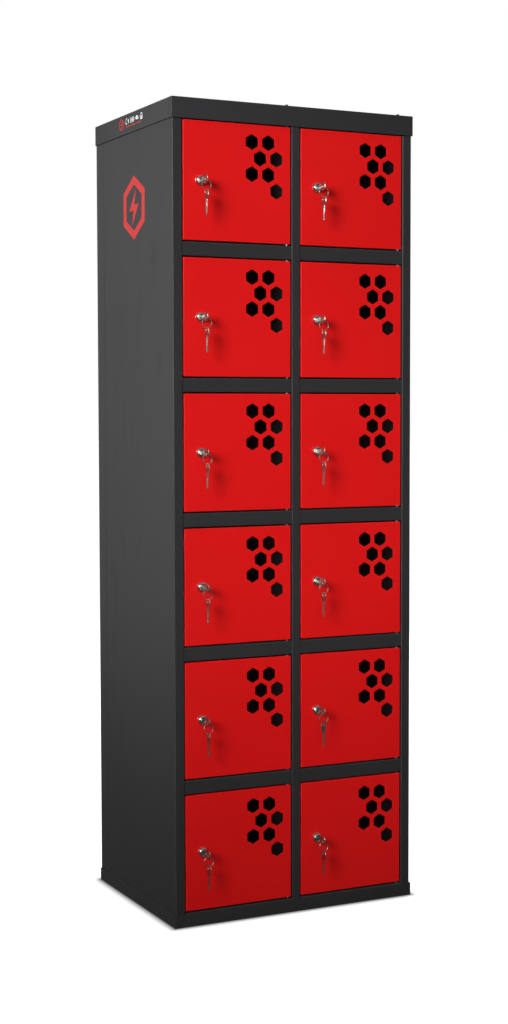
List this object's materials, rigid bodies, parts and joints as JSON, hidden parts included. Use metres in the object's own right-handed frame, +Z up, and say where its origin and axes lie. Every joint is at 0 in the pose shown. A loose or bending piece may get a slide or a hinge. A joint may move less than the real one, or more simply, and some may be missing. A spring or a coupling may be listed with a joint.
{
  "type": "phone charging locker",
  "caption": "Free-standing steel phone charging locker with two columns of small vented doors, cam locks with keys, shelves and a rear power duct.",
  "frame": {"origin": "centre of the underside of the base tray, on the floor", "axes": "+Z up, doors face -Y, +X to the viewer's right as the doors are faced"},
  "size_m": [0.6, 0.4902, 1.8035],
  "materials": {
    "cabinet_paint": "satin charcoal powder coat",
    "door_paint": "satin red powder coat",
    "lock_chrome": "polished",
    "key_nickel": "nickel plated"
  },
  "bodies": {
    "cabinet": {"base_tray": "cabinet_paint", "left_side": "cabinet_paint", "right_side": "cabinet_paint", "back_panel": "cabinet_paint", "centre_divider": "cabinet_paint", "power_duct": "cabinet_paint", "top_cap": "cabinet_paint", "shelf_1": "cabinet_paint", "shelf_2": "cabinet_paint", "shelf_3": "cabinet_paint", "shelf_4": "cabinet_paint", "shelf_5": "cabinet_paint"},
    "door_left_1": {"door_left_1": "door_paint", "lock_body_left_1": "lock_chrome"},
    "plug_left_1": {"key_plug_left_1": "key_nickel"},
    "ring_left_1": {"spare_keys_left_1": "key_nickel"},
    "door_left_2": {"door_left_2": "door_paint", "lock_body_left_2": "lock_chrome"},
    "plug_left_2": {"key_plug_left_2": "key_nickel"},
    "ring_left_2": {"spare_keys_left_2": "key_nickel"},
    "door_left_3": {"door_left_3": "door_paint", "lock_body_left_3": "lock_chrome"},
    "plug_left_3": {"key_plug_left_3": "key_nickel"},
    "ring_left_3": {"spare_keys_left_3": "key_nickel"},
    "door_left_4": {"door_left_4": "door_paint", "lock_body_left_4": "lock_chrome"},
    "plug_left_4": {"key_plug_left_4": "key_nickel"},
    "ring_left_4": {"spare_keys_left_4": "key_nickel"},
    "door_left_5": {"door_left_5": "door_paint", "lock_body_left_5": "lock_chrome"},
    "plug_left_5": {"key_plug_left_5": "key_nickel"},
    "ring_left_5": {"spare_keys_left_5": "key_nickel"},
    "door_left_6": {"door_left_6": "door_paint", "lock_body_left_6": "lock_chrome"},
    "plug_left_6": {"key_plug_left_6": "key_nickel"},
    "ring_left_6": {"spare_keys_left_6": "key_nickel"},
    "door_right_1": {"door_right_1": "door_paint", "lock_body_right_1": "lock_chrome"},
    "plug_right_1": {"key_plug_right_1": "key_nickel"},
    "ring_right_1": {"spare_keys_right_1": "key_nickel"},
    "door_right_2": {"door_right_2": "door_paint", "lock_body_right_2": "lock_chrome"},
    "plug_right_2": {"key_plug_right_2": "key_nickel"},
    "ring_right_2": {"spare_keys_right_2": "key_nickel"},
    "door_right_3": {"door_right_3": "door_paint", "lock_body_right_3": "lock_chrome"},
    "plug_right_3": {"key_plug_right_3": "key_nickel"},
    "ring_right_3": {"spare_keys_right_3": "key_nickel"},
    "door_right_4": {"door_right_4": "door_paint", "lock_body_right_4": "lock_chrome"},
    "plug_right_4": {"key_plug_right_4": "key_nickel"},
    "ring_right_4": {"spare_keys_right_4": "key_nickel"},
    "door_right_5": {"door_right_5": "door_paint", "lock_body_right_5": "lock_chrome"},
    "plug_right_5": {"key_plug_right_5": "key_nickel"},
    "ring_right_5": {"spare_keys_right_5": "key_nickel"},
    "door_right_6": {"door_right_6": "door_paint", "lock_body_right_6": "lock_chrome"},
    "plug_right_6": {"key_plug_right_6": "key_nickel"},
    "ring_right_6": {"spare_keys_right_6": "key_nickel"}
  },
  "joints": [
    {"name": "door_left_1_hinge", "type": "hinge", "parent": "cabinet", "child": "door_left_1", "pos_m": [-0.0195, -0.2155, 1.6255], "axis": [0, 0, 1], "range_deg": [0, 110]},
    {"name": "lock_left_1_turn", "type": "hinge", "parent": "door_left_1", "child": "plug_left_1", "pos_m": [-0.232, -0.221, 1.6255], "axis": [0, 1, 0], "range_deg": [0, 90]},
    {"name": "ring_left_1_hang", "type": "hinge", "parent": "plug_left_1", "child": "ring_left_1", "pos_m": [-0.232, -0.2545, 1.6185], "axis": [0, 1, 0], "range_deg": [-90, 0]},
    {"name": "door_left_2_hinge", "type": "hinge", "parent": "cabinet", "child": "door_left_2", "pos_m": [-0.0195, -0.2155, 1.3328], "axis": [0, 0, 1], "range_deg": [0, 110]},
    {"name": "lock_left_2_turn", "type": "hinge", "parent": "door_left_2", "child": "plug_left_2", "pos_m": [-0.232, -0.221, 1.3328], "axis": [0, 1, 0], "range_deg": [0, 90]},
    {"name": "ring_left_2_hang", "type": "hinge", "parent": "plug_left_2", "child": "ring_left_2", "pos_m": [-0.232, -0.2545, 1.3258], "axis": [0, 1, 0], "range_deg": [-90, 0]},
    {"name": "door_left_3_hinge", "type": "hinge", "parent": "cabinet", "child": "door_left_3", "pos_m": [-0.0195, -0.2155, 1.0401], "axis": [0, 0, 1], "range_deg": [0, 110]},
    {"name": "lock_left_3_turn", "type": "hinge", "parent": "door_left_3", "child": "plug_left_3", "pos_m": [-0.232, -0.221, 1.0401], "axis": [0, 1, 0], "range_deg": [0, 90]},
    {"name": "ring_left_3_hang", "type": "hinge", "parent": "plug_left_3", "child": "ring_left_3", "pos_m": [-0.232, -0.2545, 1.0331], "axis": [0, 1, 0], "range_deg": [-90, 0]},
    {"name": "door_left_4_hinge", "type": "hinge", "parent": "cabinet", "child": "door_left_4", "pos_m": [-0.0195, -0.2155, 0.7474], "axis": [0, 0, 1], "range_deg": [0, 110]},
    {"name": "lock_left_4_turn", "type": "hinge", "parent": "door_left_4", "child": "plug_left_4", "pos_m": [-0.232, -0.221, 0.7474], "axis": [0, 1, 0], "range_deg": [0, 90]},
    {"name": "ring_left_4_hang", "type": "hinge", "parent": "plug_left_4", "child": "ring_left_4", "pos_m": [-0.232, -0.2545, 0.7404], "axis": [0, 1, 0], "range_deg": [-90, 0]},
    {"name": "door_left_5_hinge", "type": "hinge", "parent": "cabinet", "child": "door_left_5", "pos_m": [-0.0195, -0.2155, 0.4547], "axis": [0, 0, 1], "range_deg": [0, 110]},
    {"name": "lock_left_5_turn", "type": "hinge", "parent": "door_left_5", "child": "plug_left_5", "pos_m": [-0.232, -0.221, 0.4547], "axis": [0, 1, 0], "range_deg": [0, 90]},
    {"name": "ring_left_5_hang", "type": "hinge", "parent": "plug_left_5", "child": "ring_left_5", "pos_m": [-0.232, -0.2545, 0.4477], "axis": [0, 1, 0], "range_deg": [-90, 0]},
    {"name": "door_left_6_hinge", "type": "hinge", "parent": "cabinet", "child": "door_left_6", "pos_m": [-0.0195, -0.2155, 0.162], "axis": [0, 0, 1], "range_deg": [0, 110]},
    {"name": "lock_left_6_turn", "type": "hinge", "parent": "door_left_6", "child": "plug_left_6", "pos_m": [-0.232, -0.221, 0.162], "axis": [0, 1, 0], "range_deg": [0, 90]},
    {"name": "ring_left_6_hang", "type": "hinge", "parent": "plug_left_6", "child": "ring_left_6", "pos_m": [-0.232, -0.2545, 0.155], "axis": [0, 1, 0], "range_deg": [-90, 0]},
    {"name": "door_right_1_hinge", "type": "hinge", "parent": "cabinet", "child": "door_right_1", "pos_m": [0.2655, -0.2155, 1.6255], "axis": [0, 0, 1], "range_deg": [0, 110]},
    {"name": "lock_right_1_turn", "type": "hinge", "parent": "door_right_1", "child": "plug_right_1", "pos_m": [0.053, -0.221, 1.6255], "axis": [0, 1, 0], "range_deg": [0, 90]},
    {"name": "ring_right_1_hang", "type": "hinge", "parent": "plug_right_1", "child": "ring_right_1", "pos_m": [0.053, -0.2545, 1.6185], "axis": [0, 1, 0], "range_deg": [-90, 0]},
    {"name": "door_right_2_hinge", "type": "hinge", "parent": "cabinet", "child": "door_right_2", "pos_m": [0.2655, -0.2155, 1.3328], "axis": [0, 0, 1], "range_deg": [0, 110]},
    {"name": "lock_right_2_turn", "type": "hinge", "parent": "door_right_2", "child": "plug_right_2", "pos_m": [0.053, -0.221, 1.3328], "axis": [0, 1, 0], "range_deg": [0, 90]},
    {"name": "ring_right_2_hang", "type": "hinge", "parent": "plug_right_2", "child": "ring_right_2", "pos_m": [0.053, -0.2545, 1.3258], "axis": [0, 1, 0], "range_deg": [-90, 0]},
    {"name": "door_right_3_hinge", "type": "hinge", "parent": "cabinet", "child": "door_right_3", "pos_m": [0.2655, -0.2155, 1.0401], "axis": [0, 0, 1], "range_deg": [0, 110]},
    {"name": "lock_right_3_turn", "type": "hinge", "parent": "door_right_3", "child": "plug_right_3", "pos_m": [0.053, -0.221, 1.0401], "axis": [0, 1, 0], "range_deg": [0, 90]},
    {"name": "ring_right_3_hang", "type": "hinge", "parent": "plug_right_3", "child": "ring_right_3", "pos_m": [0.053, -0.2545, 1.0331], "axis": [0, 1, 0], "range_deg": [-90, 0]},
    {"name": "door_right_4_hinge", "type": "hinge", "parent": "cabinet", "child": "door_right_4", "pos_m": [0.2655, -0.2155, 0.7474], "axis": [0, 0, 1], "range_deg": [0, 110]},
    {"name": "lock_right_4_turn", "type": "hinge", "parent": "door_right_4", "child": "plug_right_4", "pos_m": [0.053, -0.221, 0.7474], "axis": [0, 1, 0], "range_deg": [0, 90]},
    {"name": "ring_right_4_hang", "type": "hinge", "parent": "plug_right_4", "child": "ring_right_4", "pos_m": [0.053, -0.2545, 0.7404], "axis": [0, 1, 0], "range_deg": [-90, 0]},
    {"name": "door_right_5_hinge", "type": "hinge", "parent": "cabinet", "child": "door_right_5", "pos_m": [0.2655, -0.2155, 0.4547], "axis": [0, 0, 1], "range_deg": [0, 110]},
    {"name": "lock_right_5_turn", "type": "hinge", "parent": "door_right_5", "child": "plug_right_5", "pos_m": [0.053, -0.221, 0.4547], "axis": [0, 1, 0], "range_deg": [0, 90]},
    {"name": "ring_right_5_hang", "type": "hinge", "parent": "plug_right_5", "child": "ring_right_5", "pos_m": [0.053, -0.2545, 0.4477], "axis": [0, 1, 0], "range_deg": [-90, 0]},
    {"name": "door_right_6_hinge", "type": "hinge", "parent": "cabinet", "child": "door_right_6", "pos_m": [0.2655, -0.2155, 0.162], "axis": [0, 0, 1], "range_deg": [0, 110]},
    {"name": "lock_right_6_turn", "type": "hinge", "parent": "door_right_6", "child": "plug_right_6", "pos_m": [0.053, -0.221, 0.162], "axis": [0, 1, 0], "range_deg": [0, 90]},
    {"name": "ring_right_6_hang", "type": "hinge", "parent": "plug_right_6", "child": "ring_right_6", "pos_m": [0.053, -0.2545, 0.155], "axis": [0, 1, 0], "range_deg": [-90, 0]}
  ],
  "couplings": [
    {"joint": "ring_left_1_hang", "follows": "lock_left_1_turn", "ratio": -1},
    {"joint": "ring_left_2_hang", "follows": "lock_left_2_turn", "ratio": -1},
    {"joint": "ring_left_3_hang", "follows": "lock_left_3_turn", "ratio": -1},
    {"joint": "ring_left_4_hang", "follows": "lock_left_4_turn", "ratio": -1},
    {"joint": "ring_left_5_hang", "follows": "lock_left_5_turn", "ratio": -1},
    {"joint": "ring_left_6_hang", "follows": "lock_left_6_turn", "ratio": -1},
    {"joint": "ring_right_1_hang", "follows": "lock_right_1_turn", "ratio": -1},
    {"joint": "ring_right_2_hang", "follows": "lock_right_2_turn", "ratio": -1},
    {"joint": "ring_right_3_hang", "follows": "lock_right_3_turn", "ratio": -1},
    {"joint": "ring_right_4_hang", "follows": "lock_right_4_turn", "ratio": -1},
    {"joint": "ring_right_5_hang", "follows": "lock_right_5_turn", "ratio": -1},
    {"joint": "ring_right_6_hang", "follows": "lock_right_6_turn", "ratio": -1}
  ]
}
